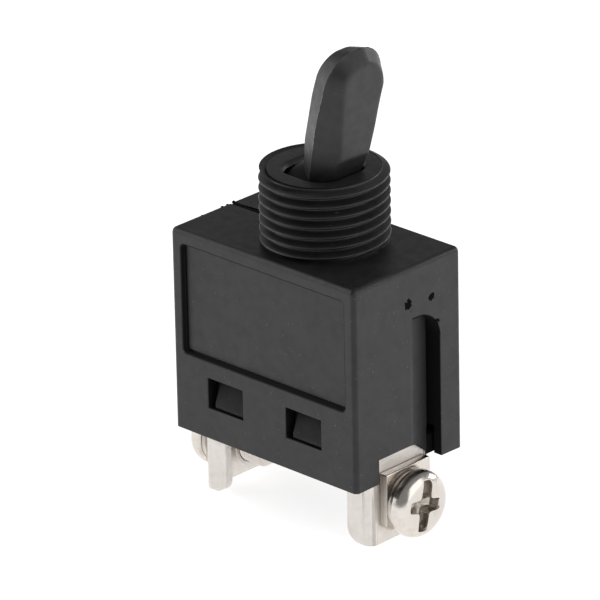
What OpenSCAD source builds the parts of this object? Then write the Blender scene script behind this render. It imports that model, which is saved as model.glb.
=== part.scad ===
// Panel-mounted toggle switch of an angle grinder: moulded case with a
// threaded neck, a tilting lever, a rocking contact and two screw terminals.
// Millimetres. The origin is on the neck's axis where it meets the case's
// top face, +Z up the neck, +X towards the load terminal, -Y towards the
// label panel.

/* [Case] */
// Length of the case, along the line between the terminals
body_w = 23.3; // [22:0.1:26]
// Depth of the case, from label face to back
body_d = 14.3; // [13.5:0.1:18]
// Height of the case without its neck
body_h = 20.2; // [20:0.1:24]
// Radius of the outer edges
edge_r = 0.5; // [0.2:0.1:1]
// Distance of the neck's axis from the middle of the case
neck_shift = 1.4; // [0:0.1:2]
// Thickness of the front and back walls
side_wall = 1.2; // [1:0.1:1.4]
// Thickness of the end walls
end_wall = 1.0; // [0.9:0.1:1]
// Thickness of the top wall
top_wall = 2.0; // [1.5:0.1:2.4]

/* [Label panel] */
// Length of the sunk panel on the front face
panel_w = 20.5; // [10:0.1:21]
// Height of the sunk panel
panel_h = 10.8; // [6:0.1:11]
// Distance of the panel's upper edge from the top face
panel_drop = 1.45; // [1:0.05:3]
// Depth of the panel below the face
panel_depth = 0.5; // [0.2:0.1:0.7]

/* [Snap windows] */
// Distance of each window's middle from the middle of the case
window_x = 5.0; // [4:0.1:6]
// Length of a window
window_w = 4.5; // [3.5:0.1:5]
// Height of a window
window_h = 3.05; // [2.5:0.05:3.2]
// Height of a window's sill above the foot of the case
window_sill = 3.1; // [2.6:0.1:3.4]
// Length of the hook that snaps into a window
hook_w = 3.7; // [2.5:0.1:3.8]
// Sideways offset of the hook in its window
hook_shift = 0.3; // [0:0.05:0.35]

/* [End scoops] */
// Place where the end face starts to curve inward
scoop_start = 0.2; // [0:0.1:1]
// Place of the scoop's far wall
scoop_stop = 4.3; // [3.8:0.1:4.6]
// Radius of the curved flank
scoop_r = 5.4; // [5:0.1:5.8]
// Distance of the scoop's upper end from the top face
scoop_drop = 5.2; // [4:0.1:7]
// Radius of the scoop's upper corner
scoop_corner_r = 2.9; // [1:0.1:3]

/* [Neck] */
// Outer diameter of the thread
thread_d = 12; // [12:0.1:14]
// Pitch of the thread
thread_pitch = 1.0; // [0.75:0.25:1]
// Depth of the thread
thread_depth = 0.6; // [0.4:0.05:0.6]
// Height of the neck above the top face
neck_h = 7.3; // [7:0.1:9]
// Length of the opening, in the lever's plane
opening_w = 6.4; // [6.4:0.1:6.8]
// Width of the opening
opening_d = 6.8; // [6.6:0.1:7]
// Corner radius of the opening
opening_r = 2.0; // [0.8:0.1:2]

/* [Lever] */
// Height of the pivot above the top face
pivot_h = 3.4; // [3:0.1:3.6]
// Angle of the lever from upright at each end of its swing
lever_tilt = 14; // [10:0.5:14]
// Length of the lever from the pivot to its rounded end
lever_len = 17.2; // [12:0.1:20]
// Width of the lever at the pivot
lever_root_w = 5.6; // [5:0.1:5.8]
// Width of the lever at its rounded end, over the ridge round its edge
lever_tip_d = 7.6; // [6:0.1:8]
// Thickness of the lever within the neck
lever_root_t = 3.6; // [3:0.1:3.6]
// Thickness between the two flats where they leave the neck
lever_thick = 4.7; // [4:0.1:4.8]
// Thickness between the two flats at the rounded end
lever_tip_t = 2.9; // [2.4:0.1:3.6]
// Angle of the bevels from the ridge to the flats
lever_bevel = 29.5; // [20:0.5:35]
// Diameter of the ball that fills the neck round the pivot
ball_d = 9.0; // [8.6:0.1:9]
// Width of the ball between its two flat sides
ball_w = 5.9; // [5.4:0.1:6]
// Diameter of the two pivot pegs
peg_d = 2.4; // [2:0.1:2.4]
// Length over both pivot pegs
peg_span = 9.0; // [8:0.1:9.1]
// Diameter of the arm below the pivot
arm_d = 4.8; // [4.4:0.1:4.8]
// Length of the arm below the pivot
arm_len = 7.2; // [6.8:0.1:7.6]

/* [Plunger and spring] */
// Diameter of the plunger
plunger_d = 2.3; // [2:0.05:2.5]
// Length of the plunger
plunger_len = 4.6; // [4:0.1:5]
// Reach of the plunger's tip below the arm
plunger_reach = 2.2; // [1.8:0.1:2.4]
// Diameter of the spring wire
wire_d = 0.3; // [0.2:0.05:0.35]
// Number of coils
coils = 7; // [5:1:8]

/* [Rocker] */
// Angle that the rocker tilts to each side
rocker_tilt = 7; // [5:0.5:7]
// Half length of the rocker
rocker_reach = 5.6; // [5.4:0.1:6]
// Width of the rocker
rocker_w = 4.0; // [3:0.1:4.2]
// Thickness of the rocker's sheet
rocker_t = 0.6; // [0.5:0.05:0.7]
// Diameter of the fulcrum rod that the rocker sits on
fulcrum_d = 1.0; // [0.8:0.1:1.2]
// Distance of the contacts from the fulcrum
contact_x = 4.6; // [4.2:0.1:4.6]
// Diameter of the moving contact
moving_contact_d = 2.0; // [1.6:0.1:2.2]
// Diameter of the fixed contact
fixed_contact_d = 2.6; // [2:0.1:3]
// Radius of the moving contact's domed face
contact_dome_r = 4; // [3:0.5:6]

/* [Terminals] */
// Thickness of the terminal sheet
sheet = 0.8; // [0.6:0.05:0.9]
// Distance of the ear's outer face from the end face
ear_inset = 1.1; // [1.1:0.05:1.2]
// How far the line terminal is set towards the front
line_shift = 0.5; // [0:0.1:0.5]
// Reach of the ear below the foot of the case
ear_drop = 6.8; // [6.4:0.1:8]
// Front face of the flange that is folded off the ear
flange_y = 4.2; // [3.8:0.1:4.4]
// Length of the folded flange
flange_w = 3.0; // [2.5:0.1:3.2]
// Back edge of the ear
ear_back = 3.4; // [3:0.1:3.5]
// Radius of the ear's lower back corner
ear_corner_r = 1.0; // [0.5:0.1:1.5]
// Radius of the flange's lower corner
flange_corner_r = 1.5; // [0.8:0.1:2]
// Outer radius of the fold
fold_r = 1.0; // [0.9:0.1:1.1]
// Depth of the screw's axis below the foot of the case
screw_drop = 3.05; // [2.8:0.05:3.4]
// Diameter of the terminal screw's thread
screw_d = 3.5; // [3:0.1:3.5]
// Pitch of the terminal screw's thread
screw_pitch = 0.6; // [0.5:0.1:0.7]
// Length of the screw below its head
screw_len = 6.6; // [6:0.1:7]
// Diameter of the screw's head
head_d = 6.5; // [5.6:0.1:7]
// Height of the screw's head
head_h = 1.7; // [1.4:0.1:2.2]
// Length of the cross recess's arms
recess_l = 5.0; // [3:0.1:5.2]
// Width of the cross recess's arms
recess_w = 1.2; // [0.8:0.1:1.5]
// Depth of the cross recess
recess_depth = 1.1; // [0.8:0.1:1.2]
// Thickness of the square clamp plate
clamp_t = 0.9; // [0.7:0.1:1]
// Width of the clamp plate
clamp_w = 5.9; // [5:0.1:6.4]
// Height of the clamp plate
clamp_h = 5.7; // [5.2:0.1:6]
// Thickness of the lock washer
washer_t = 0.6; // [0.5:0.1:0.8]
// Diameter of the lock washer
washer_d = 6.0; // [5:0.1:6]

/* [Fits] */
// Radial clearance of the pivot pegs and of the rocker's seat
pivot_gap = 0.05; // [0.02:0.01:0.08]
// Radial clearance of the plunger in its bore
slide_gap = 0.04; // [0.02:0.01:0.05]
// Clearance between pieces that lie in one another
seat_gap = 0.1; // [0.05:0.01:0.1]
// Clearance kept between the plunger's tip and the rocker
tip_gap = 0.15; // [0.1:0.05:0.2]
// Clearance left between the closed contacts
contact_gap = 0.1; // [0.05:0.05:0.2]
// Radial clearance of the screw in the clamp plate and the lock washer
screw_gap = 0.15; // [0.1:0.05:0.2]

/* [Hidden] */
$fn = 64;
over = 1;
half_w = body_w / 2;
half_d = body_d / 2;
mid_x = -neck_shift;
foot = -body_h;
load_end = mid_x + half_w;
panel_corner_r = 0.4;
groove_w = 0.12;
groove_depth = 0.15;

// Neck
ball_gap = 0.25;
neck_r = thread_d / 2;
root_r = neck_r - thread_depth;
crest = thread_pitch / 6;
ridges = floor(neck_h / thread_pitch);
ridge_foot = neck_h - ridges * thread_pitch;
pocket_r = root_r - 1.1;
pocket_top = pivot_h - 1.9;

// Lever and plunger, in the lever's own frame with its pivot at the origin
peg_r = peg_d / 2;
tip_r = lever_tip_d / 2;
lever_foot = peg_r / 2;
lever_shoulder = lever_len - tip_r;
lever_waist = neck_h - pivot_h + 0.1;
lever_belly = lever_waist + 2.6;
ball_r = ball_d / 2;
lever_spread = atan((tip_r - lever_root_w / 2) / (lever_shoulder - 1));
bevel_reach = lever_thick / 2 + 0.2;
bevel_drop = bevel_reach * tan(lever_bevel);
plunger_r = plunger_d / 2;
bore_r = plunger_r + slide_gap;
bore_top = peg_r / 2;
plunger_tip = -arm_len - plunger_reach;
plunger_top = plunger_tip + plunger_len;
spring_r = bore_r - slide_gap - wire_d / 2;
spring_pitch = (bore_top - plunger_top - wire_d) / coils;

// Path of the plunger's round end as the rocker sees it: an arc from the
// middle of the swing to its end
nose_reach = -plunger_tip - plunger_r;
nose_mid = pivot_h - nose_reach;
fulcrum_r = fulcrum_d / 2;
seat_r = fulcrum_r + pivot_gap;
rocker_web = rocker_t;
fulcrum_z = nose_mid - plunger_r - tip_gap - rocker_web - seat_r;
nose_x = -nose_reach * sin(lever_tilt);
nose_z = pivot_h - nose_reach * cos(lever_tilt) - fulcrum_z;
path_x = nose_x * cos(rocker_tilt) + nose_z * sin(rocker_tilt);
path_z = -nose_x * sin(rocker_tilt) + nose_z * cos(rocker_tilt);
path_rise = path_z - (nose_mid - fulcrum_z);
path_r = (path_x * path_x + path_rise * path_rise) / (2 * path_rise);
trough_r = path_r + plunger_r + tip_gap;
trough_z = nose_mid - fulcrum_z + path_r;
trough_half = 2.6;
rocker_arm_z = trough_z - sqrt(pow(trough_r + rocker_t, 2) - pow(trough_half - 0.1, 2));
lug_half = seat_r + 0.55;
lug_drop = 0.25;

// Contacts
moving_t = 0.6;
stem_r = 0.6;
dome_z = rocker_arm_z - moving_t + contact_dome_r;
closed_z = fulcrum_z - contact_x * sin(rocker_tilt) + dome_z * cos(rocker_tilt) - contact_dome_r;

// Terminals
plate_top = fulcrum_z - 1.0;
plate_z = plate_top - sheet;
strip_y = -3.6;
strip_w = 2.8;
ear_x = half_w - ear_inset;
ear_top = foot + 2.55;
ear_foot = foot - ear_drop;
flange_top = foot + 0.15;
screw_z = foot - screw_drop;
screw_r = screw_d / 2;
collar_r = screw_r + 0.5;
collar_len = 1.6;
tap_gap = 0.02;
head_x = ear_x + clamp_t + washer_t;
clamp_top = foot + 0.4;
clamp_corner_r = 0.6;
washer_split = 0.4;

// Base
base_gap = 0.15;
base_foot = foot + 0.3;
base_floor_top = foot + 2.0;
rib_depth = 3.0;
rib_front = -0.5;
rib_foot = foot + 2.75;
base_block_half = half_w - rib_depth - 0.2;

plastic = [0.16, 0.16, 0.165];
base_plastic = [0.10, 0.10, 0.105];
nickel = [0.80, 0.79, 0.76];
brass = [0.72, 0.60, 0.34];
silver = [0.86, 0.86, 0.85];
steel = [0.62, 0.63, 0.65];

// Carries a drawing in Y and Z along X
module along_x(length) {
    rotate([90, 0, 90])
        linear_extrude(length)
            children();
}

// Carries a drawing in X and Z along Y, from the front plane backwards
module along_y(front, length) {
    translate([0, front + length, 0])
        rotate([90, 0, 0])
            linear_extrude(length)
                children();
}

// Rectangle with rounded corners, centred
module rounded_rectangle(w, h, r) {
    square([w - 2 * r, h], center = true);
    square([w, h - 2 * r], center = true);
    for (x = [-1, 1], y = [-1, 1])
        translate([x * (w / 2 - r), y * (h / 2 - r)])
            circle(r);
}

// What is taken off a square corner at the origin to round it
module corner_waste(r) {
    difference() {
        translate([-over, -over])
            square(r + over);
        translate([r, r])
            circle(r);
    }
}

// Upright outline of the case with its two upper corners rounded
module rounded_top(w, h, r) {
    translate([0, -h / 2 - r])
        rounded_rectangle(w, h + 2 * r, r);
}

// Puts a piece at one end of the case: 1 is the load end, -1 the line end.
// The piece is drawn with X outwards from the middle of the case.
module at_end(side) {
    translate([mid_x, 0, 0])
        mirror([side < 0 ? 1 : 0, 0, 0])
            children();
}

// Puts a piece at the line end, as far forward as the line terminal
module at_line_terminal() {
    at_end(-1)
        translate([0, -line_shift, 0])
            children();
}

// Puts a piece at the lever's pivot, tilted as it rests
module on_lever() {
    translate([0, 0, pivot_h])
        rotate([0, lever_tilt, 0])
            children();
}

// Puts a piece at the fulcrum, tilted as it rests
module on_rocker() {
    translate([0, 0, fulcrum_z])
        rotate([0, -rocker_tilt, 0])
            children();
}

// Case

module case_block() {
    translate([mid_x, 0, 0])
        intersection() {
            translate([0, 0, foot])
                linear_extrude(body_h + over)
                    rounded_rectangle(body_w, body_d, edge_r);
            along_y(-body_d, 2 * body_d)
                rounded_top(body_w, body_h, edge_r);
            translate([-body_w, 0, 0])
                along_x(2 * body_w)
                    rounded_top(body_d, body_h, edge_r);
            translate([0, 0, foot + body_h])
                cube([2 * body_w, 2 * body_d, 2 * body_h], center = true);
        }
}

// Neck: a plain collar at its foot, then ridges that each have two flanks and a crest
module neck() {
    rotate_extrude()
        polygon(concat(
            [[0, -over], [neck_r, -over], [neck_r, ridge_foot / 2]],
            [for (i = [0 : ridges - 1], p = [
                [root_r, crest / 2],
                [neck_r, thread_pitch / 2 - crest / 2],
                [neck_r, thread_pitch / 2 + crest / 2],
                [root_r, thread_pitch - crest / 2],
            ]) [p[0], ridge_foot + i * thread_pitch + p[1]]],
            [[root_r, neck_h], [0, neck_h]]
        ));
}

// Room for the lever: the opening, the room for its ball under the lip, the
// pocket for its arm and the two slots that the pegs slide up into
module lever_room() {
    lip_foot = pivot_h + sqrt(pow(ball_r, 2) - pow(opening_w / 2, 2)) + ball_gap;
    translate([0, 0, -top_wall - over])
        intersection() {
            cylinder(h = top_wall + over + lip_foot, r = ball_r + ball_gap);
            translate([-ball_d, -opening_d / 2, 0])
                cube([2 * ball_d, opening_d, top_wall + over + lip_foot]);
        }
    translate([0, 0, -top_wall - over])
        linear_extrude(top_wall + neck_h + 2 * over)
            rounded_rectangle(opening_w, opening_d, opening_r);
    translate([0, 0, -top_wall - over])
        cylinder(h = top_wall + pocket_top + over, r = pocket_r);
    along_y(-peg_span / 2 - seat_gap, peg_span + 2 * seat_gap) {
        translate([0, pivot_h])
            circle(peg_r + pivot_gap);
        translate([-peg_r - pivot_gap, -top_wall - over])
            square([peg_d + 2 * pivot_gap, top_wall + over + pivot_h]);
    }
}

module cavity() {
    translate([mid_x - half_w + end_wall, -half_d + side_wall, foot - over])
        cube([body_w - 2 * end_wall, body_d - 2 * side_wall, body_h - top_wall + over]);
}

// Bed of the label panel, with a fine groove round it
module panel_recess() {
    translate([mid_x, 0, -panel_drop - panel_h / 2]) {
        along_y(-half_d - over, panel_depth + over)
            rounded_rectangle(panel_w, panel_h, panel_corner_r);
        along_y(-half_d - over, panel_depth + over + groove_depth)
            difference() {
                rounded_rectangle(panel_w, panel_h, panel_corner_r);
                square([panel_w - 2 * groove_w, panel_h - 2 * groove_w], center = true);
            }
    }
}

module windows() {
    for (side = [-1, 1])
        translate([mid_x + side * window_x - window_w / 2, -half_d - over, foot + window_sill])
            cube([window_w, body_d + 2 * over, window_h]);
}

// Solid that backs the scoop inside the end wall
module scoop_rib() {
    translate([half_w - rib_depth, rib_front, rib_foot])
        cube([rib_depth - edge_r, half_d - side_wall + 0.1 - rib_front, -top_wall + 0.1 - rib_foot]);
}

// Upright channel in the end face: its near flank curves inward, its far
// wall stays square
module scoop_cut() {
    difference() {
        translate([half_w - scoop_r, 0, 0])
            along_x(scoop_r + over)
                difference() {
                    translate([scoop_start, foot - over])
                        square([scoop_stop - scoop_start, body_h - scoop_drop + over]);
                    translate([scoop_stop, -scoop_drop])
                        rotate(180)
                            corner_waste(scoop_corner_r);
                }
        translate([half_w - scoop_r, scoop_start, foot - 2 * over])
            cylinder(h = body_h, r = scoop_r);
    }
}

// Notch in the foot of the end wall, over the terminal
module terminal_notch() {
    translate([half_w - end_wall - 0.01, 0, 0])
        along_x(end_wall + over)
            polygon([
                [-4.05, foot - over], [-4.05, foot + 2.4], [0.9, foot + 2.4],
                [2.9, foot + 0.8], [3.1, foot + 0.8], [3.1, foot - over],
            ]);
}

// Shallow groove on the top face, from the line end to the neck
module top_groove() {
    translate([mid_x - half_w - over, 0.45, -0.35])
        cube([half_w + over - neck_shift - 2.5, 0.8, 1]);
}

module housing() {
    color(plastic)
        difference() {
            union() {
                difference() {
                    case_block();
                    cavity();
                }
                neck();
                for (side = [-1, 1])
                    at_end(side)
                        scoop_rib();
            }
            lever_room();
            panel_recess();
            windows();
            top_groove();
            for (side = [-1, 1])
                at_end(side) {
                    scoop_cut();
                    terminal_notch();
                }
        }
}

// Base

// Snap hook: leads in at the top, catches at its lower edge
module hook() {
    front = half_d - side_wall - base_gap;
    sill = foot + window_sill + 0.15;
    translate([-hook_w / 2, 0, 0])
        along_x(hook_w)
            polygon([
                [-front + over, sill], [-half_d + 0.2, sill], [-half_d + 0.2, sill + 0.5],
                [-front - 0.35, sill + 2.6], [-front + over, sill + 2.6],
            ]);
}

// Floor, a block that carries the terminals' plates, a toe beside each ear that
// closes the foot of the scoop, and the hooks
module base() {
    depth = body_d - 2 * side_wall - 2 * base_gap;
    floor_half = ear_x - sheet - base_gap;
    color(base_plastic)
        union() {
            translate([mid_x - floor_half, -depth / 2, base_foot])
                cube([2 * floor_half, depth, base_floor_top - base_foot]);
            translate([mid_x - base_block_half, -depth / 2, base_foot])
                cube([2 * base_block_half, depth, plate_z - base_foot]);
            for (side = [-1, 1])
                at_end(side)
                    translate([floor_half - over, ear_back + base_gap, foot])
                        cube([over + sheet, depth / 2 - ear_back - base_gap, base_floor_top - foot]);
            for (side = [-1, 1])
                translate([mid_x + side * window_x + hook_shift, 0, 0]) {
                    hook();
                    mirror([0, 1, 0])
                        hook();
                }
        }
}

// Lever, plunger and spring

// Straight bar with a round end, bevelled on both sides to a ridge round its edge
module ridged_bar() {
    side_y = tip_r - bevel_drop;
    translate([0, 0, lever_foot])
        linear_extrude(lever_shoulder - lever_foot)
            polygon([
                [bevel_reach, -side_y], [bevel_reach, side_y], [0, tip_r],
                [-bevel_reach, side_y], [-bevel_reach, -side_y], [0, -tip_r],
            ]);
    translate([0, 0, lever_shoulder])
        intersection() {
            for (side = [-1, 1])
                rotate([0, side * 90, 0])
                    cylinder(h = bevel_reach, r1 = tip_r, r2 = side_y);
            translate([-tip_r, -tip_r, 0])
                cube(2 * tip_r);
        }
}

// Bevelled edge that leans in towards the pivot, with all that lies behind it
module leaning_edge() {
    drop = bevel_drop * cos(lever_spread);
    translate([0, lever_root_w / 2, 0])
        rotate([-lever_spread, 0, 0])
            translate([0, 0, -over])
                linear_extrude(2 * lever_len)
                    polygon([
                        [0, 0], [-bevel_reach, -drop], [-bevel_reach, -2 * lever_tip_d],
                        [bevel_reach, -2 * lever_tip_d], [bevel_reach, -drop],
                    ]);
}

// Paddle: the ridged bar, narrower towards the pivot, thin within the neck and
// cut to two flats that are furthest apart above it
module lever_bar() {
    lean = (lever_thick - lever_tip_t) / 2 / (lever_len - lever_belly);
    top_half = lever_tip_t / 2 - over * lean;
    intersection() {
        ridged_bar();
        leaning_edge();
        mirror([0, 1, 0])
            leaning_edge();
        along_y(-lever_tip_d, 2 * lever_tip_d)
            polygon([
                [-lever_root_t / 2, lever_foot - over], [lever_root_t / 2, lever_foot - over],
                [lever_root_t / 2, lever_waist], [lever_thick / 2, lever_belly],
                [top_half, lever_len + over], [-top_half, lever_len + over],
                [-lever_thick / 2, lever_belly], [-lever_root_t / 2, lever_waist],
            ]);
    }
}

// Ball round the pivot that closes the opening at every tilt
module lever_ball() {
    intersection() {
        sphere(ball_r);
        translate([-ball_d, -ball_w / 2, -peg_r])
            cube([2 * ball_d, ball_w, 2 * ball_d]);
    }
}

module lever() {
    color(plastic)
        on_lever()
            difference() {
                union() {
                    lever_bar();
                    lever_ball();
                    translate([0, 0, -arm_len])
                        cylinder(h = arm_len + peg_r + 0.3, d = arm_d);
                    rotate([90, 0, 0])
                        cylinder(h = peg_span, r = peg_r, center = true);
                }
                translate([0, 0, -arm_len - over])
                    cylinder(h = arm_len + over + bore_top, r = bore_r);
            }
}

module plunger() {
    color(nickel)
        on_lever()
            union() {
                translate([0, 0, plunger_tip + plunger_r])
                    cylinder(h = plunger_len - plunger_r, r = plunger_r);
                translate([0, 0, plunger_tip + plunger_r])
                    sphere(plunger_r);
            }
}

// Wire wound along a helix: rings of points round the wire, joined one to the next
module coil(radius, wire, pitch, turns) {
    steps = 20;
    sides = 8;
    last = turns * steps;
    points = [for (i = [0 : last], j = [0 : sides - 1])
        let (a = i * 360 / steps, b = j * 360 / sides, r = radius + wire / 2 * cos(b))
            [r * cos(a), r * sin(a), pitch * i / steps + wire / 2 * sin(b)]];
    skin = [for (i = [0 : last - 1], j = [0 : sides - 1])
        let (k = (j + 1) % sides)
            [i * sides + j, i * sides + k, (i + 1) * sides + k, (i + 1) * sides + j]];
    ends = [
        [for (j = [sides - 1 : -1 : 0]) j],
        [for (j = [0 : sides - 1]) last * sides + j],
    ];
    polyhedron(points, concat(skin, ends), convexity = 10);
}

module plunger_spring() {
    color(steel)
        on_lever()
            translate([0, 0, plunger_top + wire_d / 2 + 0.01])
                coil(spring_r, wire_d, spring_pitch - 0.02 / coils, coils);
}

// Rocker and contacts

module rocker() {
    color(brass)
        on_rocker()
            difference() {
                along_y(-rocker_w / 2, rocker_w)
                    difference() {
                        union() {
                            intersection() {
                                translate([0, trough_z])
                                    difference() {
                                        circle(trough_r + rocker_t);
                                        circle(trough_r);
                                    }
                                translate([-trough_half, 0])
                                    square([2 * trough_half, trough_z]);
                            }
                            for (x = [-rocker_reach, trough_half - 0.3])
                                translate([x, rocker_arm_z])
                                    square([rocker_reach - trough_half + 0.3, rocker_t]);
                            translate([-lug_half, -lug_drop])
                                square([2 * lug_half, seat_r + lug_drop + rocker_web / 2]);
                        }
                        circle(seat_r);
                        translate([-seat_r, -over])
                            square([2 * seat_r, over]);
                    }
                translate([contact_x, 0, rocker_arm_z - over])
                    cylinder(h = rocker_t + 2 * over, r = stem_r + tap_gap);
            }
}

module moving_contact() {
    color(silver)
        on_rocker()
            translate([contact_x, 0, 0]) {
                translate([0, 0, rocker_arm_z - tap_gap])
                    cylinder(h = rocker_t + tap_gap, r = stem_r);
                intersection() {
                    translate([0, 0, dome_z])
                        sphere(contact_dome_r);
                    translate([0, 0, rocker_arm_z - moving_t - over])
                        cylinder(h = moving_t + over - tap_gap, d = moving_contact_d);
                }
            }
}

module fixed_contact() {
    color(silver)
        translate([contact_x, 0, 0]) {
            translate([0, 0, plate_z])
                cylinder(h = sheet + 0.1, r = stem_r);
            translate([0, 0, plate_top + tap_gap])
                cylinder(h = closed_z - contact_gap - plate_top - tap_gap, d = fixed_contact_d);
        }
}

// Terminals

// Ear across the end, with a flange folded forward off it, a drawn collar
// for the screw and a strip that climbs inside the case
module terminal_ear() {
    difference() {
        union() {
            translate([ear_x - sheet, 0, 0])
                along_x(sheet)
                    difference() {
                        translate([-flange_y, ear_foot])
                            square([flange_y + ear_back, ear_top - ear_foot]);
                        translate([ear_back, ear_foot])
                            rotate(90)
                                corner_waste(ear_corner_r);
                    }
            along_y(-flange_y, sheet)
                difference() {
                    translate([ear_x - flange_w, ear_foot])
                        square([flange_w, flange_top - ear_foot]);
                    translate([ear_x - flange_w, ear_foot])
                        corner_waste(flange_corner_r);
                }
            translate([ear_x - sheet - collar_len, 0, screw_z])
                rotate([0, 90, 0])
                    cylinder(h = collar_len + sheet / 2, r = collar_r);
            translate([ear_x - sheet, strip_y, ear_top - over])
                cube([sheet, strip_w, plate_top - ear_top + over]);
        }
        translate([ear_x, -flange_y, ear_foot - over])
            linear_extrude(ear_top - ear_foot + 2 * over)
                rotate(90)
                    corner_waste(fold_r);
        translate([ear_x - sheet - collar_len - over, 0, screw_z])
            rotate([0, 90, 0])
                cylinder(h = sheet + collar_len + 2 * over, r = screw_r + tap_gap);
    }
}

// Flat part on top of the base, from one place along X to another
module terminal_plate(from_x, to_x, y_front, y_back) {
    translate([from_x, y_front, plate_z])
        cube([to_x - from_x, y_back - y_front, sheet]);
}

module line_terminal() {
    outer = mid_x - ear_x;
    color(nickel)
        union() {
            at_line_terminal()
                terminal_ear();
            terminal_plate(outer, -rocker_reach, strip_y, strip_y + strip_w);
            terminal_plate(-rocker_reach - 2, sheet / 2, strip_y, rocker_w / 2);
            translate([-sheet / 2, -rocker_w / 2, plate_z])
                cube([sheet, rocker_w, fulcrum_z - plate_z]);
            translate([0, 0, fulcrum_z])
                rotate([90, 0, 0])
                    cylinder(h = rocker_w, r = fulcrum_r, center = true);
        }
}

module load_terminal() {
    outer = mid_x + ear_x;
    color(nickel)
        difference() {
            union() {
                at_end(1)
                    terminal_ear();
                terminal_plate(contact_x + 1, outer, strip_y, strip_y + strip_w);
                terminal_plate(contact_x - 1.6, contact_x + 1.6, strip_y, rocker_w / 2);
            }
            translate([contact_x, 0, plate_z - over])
                cylinder(h = sheet + 2 * over, r = stem_r + tap_gap);
        }
}

module clamp_plate() {
    translate([ear_x, 0, 0])
        along_x(clamp_t)
            difference() {
                translate([-clamp_w / 2, clamp_top - clamp_h])
                    square([clamp_w, clamp_h]);
                translate([-clamp_w / 2, clamp_top - clamp_h])
                    corner_waste(clamp_corner_r);
                translate([clamp_w / 2, clamp_top - clamp_h])
                    rotate(90)
                        corner_waste(clamp_corner_r);
                translate([0, screw_z])
                    circle(screw_r + screw_gap);
            }
}

module line_clamp_plate() {
    color(nickel)
        at_line_terminal()
            clamp_plate();
}

module load_clamp_plate() {
    color(nickel)
        at_end(1)
            clamp_plate();
}

module lock_washer() {
    translate([ear_x + clamp_t, 0, screw_z])
        along_x(washer_t)
            difference() {
                circle(d = washer_d);
                circle(screw_r + screw_gap);
                rotate(60)
                    translate([0, -washer_split / 2])
                        square([washer_d, washer_split]);
            }
}

module line_lock_washer() {
    color(nickel)
        at_line_terminal()
            lock_washer();
}

module load_lock_washer() {
    color(nickel)
        at_end(1)
            lock_washer();
}

// Pan-head screw with a cross recess; drawn along X with the head outwards
module terminal_screw() {
    round_r = 0.9;
    thread_r = screw_r - 0.3;
    turns = floor(screw_len / screw_pitch);
    groove = [[thread_r, 0.35], [thread_r, 0.65], [screw_r, 0.95], [screw_r, 1]];
    translate([head_x, 0, screw_z])
        rotate([0, 90, 0])
            difference() {
                union() {
                    rotate_extrude() {
                        square([head_d / 2, head_h - round_r]);
                        square([head_d / 2 - round_r, head_h]);
                        translate([head_d / 2 - round_r, head_h - round_r])
                            intersection() {
                                circle(round_r);
                                square(round_r);
                            }
                    }
                    rotate_extrude()
                        polygon(concat(
                            [[0, over / 2], [screw_r, over / 2], [screw_r, 0]],
                            [for (i = [0 : turns - 1], p = groove) [p[0], -(i + p[1]) * screw_pitch]],
                            [[thread_r, -screw_len], [0, -screw_len]]
                        ));
                }
                for (a = [0, 90])
                    rotate(a)
                        translate([-recess_l / 2, -recess_w / 2, head_h - recess_depth])
                            cube([recess_l, recess_w, recess_depth + over]);
            }
}

module line_screw() {
    color(nickel)
        at_line_terminal()
            terminal_screw();
}

module load_screw() {
    color(nickel)
        at_end(1)
            terminal_screw();
}

housing();
base();
lever();
plunger();
plunger_spring();
rocker();
moving_contact();
fixed_contact();
line_terminal();
load_terminal();
line_clamp_plate();
load_clamp_plate();
line_lock_washer();
load_lock_washer();
line_screw();
load_screw();
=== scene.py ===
import math
import random

import bmesh
import bpy
from mathutils import Matrix, Vector


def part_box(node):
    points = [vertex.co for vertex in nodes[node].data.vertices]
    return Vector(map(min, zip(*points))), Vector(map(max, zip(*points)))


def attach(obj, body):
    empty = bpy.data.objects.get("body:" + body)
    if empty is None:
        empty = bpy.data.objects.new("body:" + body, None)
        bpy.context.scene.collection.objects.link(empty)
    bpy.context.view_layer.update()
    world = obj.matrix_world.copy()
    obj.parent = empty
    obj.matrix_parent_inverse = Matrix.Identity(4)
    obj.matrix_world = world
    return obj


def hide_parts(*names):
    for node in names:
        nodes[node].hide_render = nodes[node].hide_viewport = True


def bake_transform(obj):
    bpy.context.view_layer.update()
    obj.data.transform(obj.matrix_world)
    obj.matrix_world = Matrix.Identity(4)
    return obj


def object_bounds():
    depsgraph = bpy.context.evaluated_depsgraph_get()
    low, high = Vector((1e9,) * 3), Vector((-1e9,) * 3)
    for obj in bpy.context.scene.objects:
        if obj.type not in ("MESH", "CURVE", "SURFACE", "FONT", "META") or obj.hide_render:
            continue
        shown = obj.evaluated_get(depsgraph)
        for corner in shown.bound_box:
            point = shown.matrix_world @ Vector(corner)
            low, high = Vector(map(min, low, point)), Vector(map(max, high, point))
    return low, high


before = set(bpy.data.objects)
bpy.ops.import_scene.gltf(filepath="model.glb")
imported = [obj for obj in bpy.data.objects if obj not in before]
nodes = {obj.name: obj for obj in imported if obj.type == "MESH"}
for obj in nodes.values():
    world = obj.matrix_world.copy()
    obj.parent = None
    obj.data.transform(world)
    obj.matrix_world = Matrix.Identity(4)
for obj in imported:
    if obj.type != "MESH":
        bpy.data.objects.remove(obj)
cad_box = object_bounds()

# Lengths are in millimetres, and in metres once they are multiplied by MM
MM = 0.001
LEVER_PIVOT = Vector((0, 0, 3.4 * MM))
# Name of the mark that a mesh carries at its points: up to 1 where painted shade or dirt darkens it, below 0
# where it is pale
SHADE_AND_DIRT = "shade_and_dirt"
WHITE = (1, 1, 1, 1)

# Slack for a place on a face, for a place just inside one and for a place on a cutting plane
NEAR = 0.01
INSIDE = 0.02
TOUCH = 0.001
# Points closer than this are one point, and faces that bend less than this, in degrees, are one face
WELD = 0.001
FLAT_ANGLE = 0.3
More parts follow.
